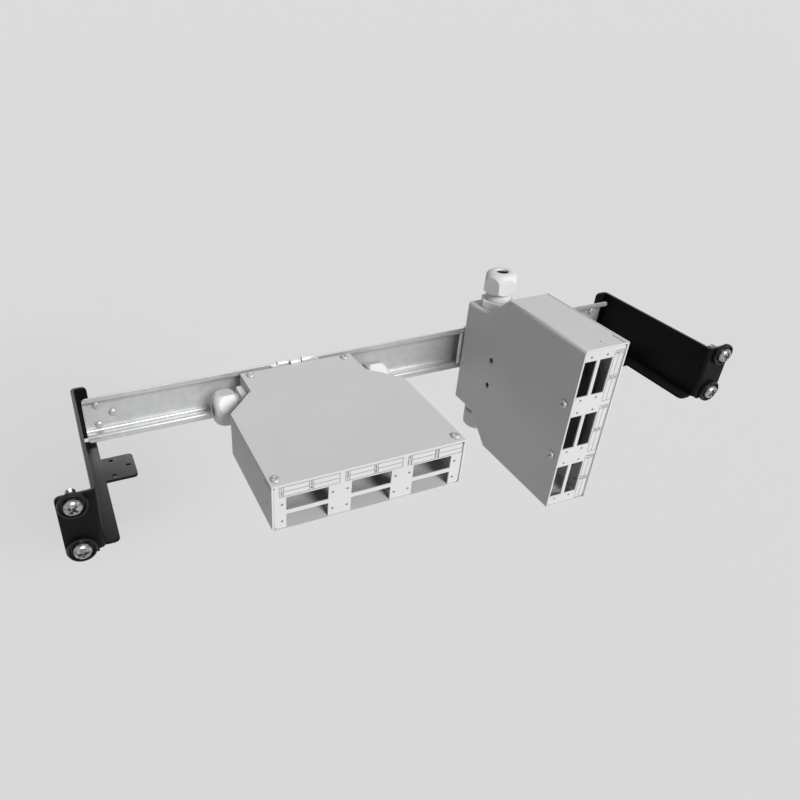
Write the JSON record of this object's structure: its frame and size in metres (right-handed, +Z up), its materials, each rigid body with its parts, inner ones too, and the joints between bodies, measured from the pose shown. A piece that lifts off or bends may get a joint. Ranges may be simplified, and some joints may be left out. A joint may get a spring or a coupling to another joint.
{
  "type": "din rail rack panel",
  "caption": "Rack panel with folded side brackets, a top-hat rail between them, and clip-on fibre boxes with adapter cut-outs and cable glands.",
  "frame": {"origin": "middle of the plane in which the two ears meet the rack posts, halfway between the four rack screws", "axes": "+X along the rail, +Y from the rack's front plane to its back, +Z up"},
  "size_m": [0.4826, 0.1384, 0.1348],
  "materials": {
    "black_steel": "black powder coat, slightly textured",
    "black_plastic": "black moulded, satin",
    "galvanised": "bright zinc coat with fine streaks",
    "zinc": "bright zinc plate",
    "spring_steel": "drawn wire",
    "grey_steel": "light grey powder coat, satin",
    "tray_steel": "dark grey powder coat",
    "polyamide": "light grey moulded, satin",
    "rubber": "black, matt"
  },
  "bodies": {
    "panel": {"din_rail": "galvanised", "left_bracket": "black_steel", "left_cup_washer_1": "black_plastic", "left_cup_washer_2": "black_plastic", "left_rack_screw_1": "zinc", "left_rack_screw_2": "zinc", "left_rail_screw_1": "zinc", "left_rail_screw_2": "zinc", "left_rail_screw_3": "zinc", "right_bracket": "black_steel", "right_cup_washer_1": "black_plastic", "right_cup_washer_2": "black_plastic", "right_rack_screw_1": "zinc", "right_rack_screw_2": "zinc", "right_rail_screw_1": "zinc", "right_rail_screw_2": "zinc", "right_rail_screw_3": "zinc"},
    "flat_box": {"flat_box_body": "grey_steel", "flat_box_clip_plate": "zinc", "flat_box_clip_spring": "spring_steel", "flat_box_cover": "grey_steel", "flat_box_cover_screw_1": "zinc", "flat_box_cover_screw_2": "zinc", "flat_box_cover_screw_3": "zinc", "flat_box_cover_screw_4": "zinc", "flat_box_front_plate": "grey_steel", "flat_box_front_plate_screw_1": "zinc", "flat_box_front_plate_screw_2": "zinc", "flat_box_left_gland_body": "polyamide", "flat_box_left_gland_locknut": "polyamide", "flat_box_left_gland_seal": "rubber", "flat_box_right_gland_body": "polyamide", "flat_box_right_gland_locknut": "polyamide", "flat_box_right_gland_seal": "rubber", "flat_box_splice_tray": "tray_steel"},
    "flat_box_clip_slider": {"flat_box_clip_slider": "zinc"},
    "flat_box_left_gland_nut": {"flat_box_left_gland_nut": "polyamide"},
    "flat_box_right_gland_nut": {"flat_box_right_gland_nut": "polyamide"},
    "upright_box": {"upright_box_body": "grey_steel", "upright_box_clip_plate": "zinc", "upright_box_clip_spring": "spring_steel", "upright_box_cover": "grey_steel", "upright_box_cover_screw_1": "zinc", "upright_box_cover_screw_2": "zinc", "upright_box_cover_screw_3": "zinc", "upright_box_cover_screw_4": "zinc", "upright_box_front_plate": "grey_steel", "upright_box_front_plate_screw_1": "zinc", "upright_box_front_plate_screw_2": "zinc", "upright_box_left_gland_body": "polyamide", "upright_box_left_gland_locknut": "polyamide", "upright_box_left_gland_seal": "rubber", "upright_box_right_gland_body": "polyamide", "upright_box_right_gland_locknut": "polyamide", "upright_box_right_gland_seal": "rubber", "upright_box_splice_tray": "tray_steel"},
    "upright_box_clip_slider": {"upright_box_clip_slider": "zinc"},
    "upright_box_left_gland_nut": {"upright_box_left_gland_nut": "polyamide"},
    "upright_box_right_gland_nut": {"upright_box_right_gland_nut": "polyamide"}
  },
  "joints": [
    {"name": "flat_box_slide", "type": "slide", "parent": "panel", "child": "flat_box", "axis": [1, 0, 0], "range_m": [-0.055, 0.03]},
    {"name": "flat_box_clip_release", "type": "slide", "parent": "flat_box", "child": "flat_box_clip_slider", "axis": [0, 0, -1], "range_m": [0, 0.0024], "stiffness_N_per_m": 600, "springref_m": -0.004, "deforming": ["flat_box_clip_spring"]},
    {"name": "flat_box_left_gland_turn", "type": "hinge", "parent": "flat_box", "child": "flat_box_left_gland_nut", "pos_m": [-0.1093, 0.0824, 0], "axis": [-1, 0, 0], "range_deg": [0, 1440]},
    {"name": "flat_box_right_gland_turn", "type": "hinge", "parent": "flat_box", "child": "flat_box_right_gland_nut", "pos_m": [-0.0253, 0.0824, 0], "axis": [1, 0, 0], "range_deg": [0, 1440]},
    {"name": "upright_box_slide", "type": "slide", "parent": "panel", "child": "upright_box", "axis": [1, 0, 0], "range_m": [-0.03, 0.08]},
    {"name": "upright_box_clip_release", "type": "slide", "parent": "upright_box", "child": "upright_box_clip_slider", "axis": [0, 0, -1], "range_m": [0, 0.0024], "stiffness_N_per_m": 600, "springref_m": -0.004, "deforming": ["upright_box_clip_spring"]},
    {"name": "upright_box_left_gland_turn", "type": "hinge", "parent": "upright_box", "child": "upright_box_left_gland_nut", "pos_m": [0.089, 0.0824, 0.042], "axis": [0, 0, 1], "range_deg": [-720, 1440]},
    {"name": "upright_box_right_gland_turn", "type": "hinge", "parent": "upright_box", "child": "upright_box_right_gland_nut", "pos_m": [0.089, 0.0824, -0.042], "axis": [0, 0, -1], "range_deg": [0, 1440]}
  ]
}
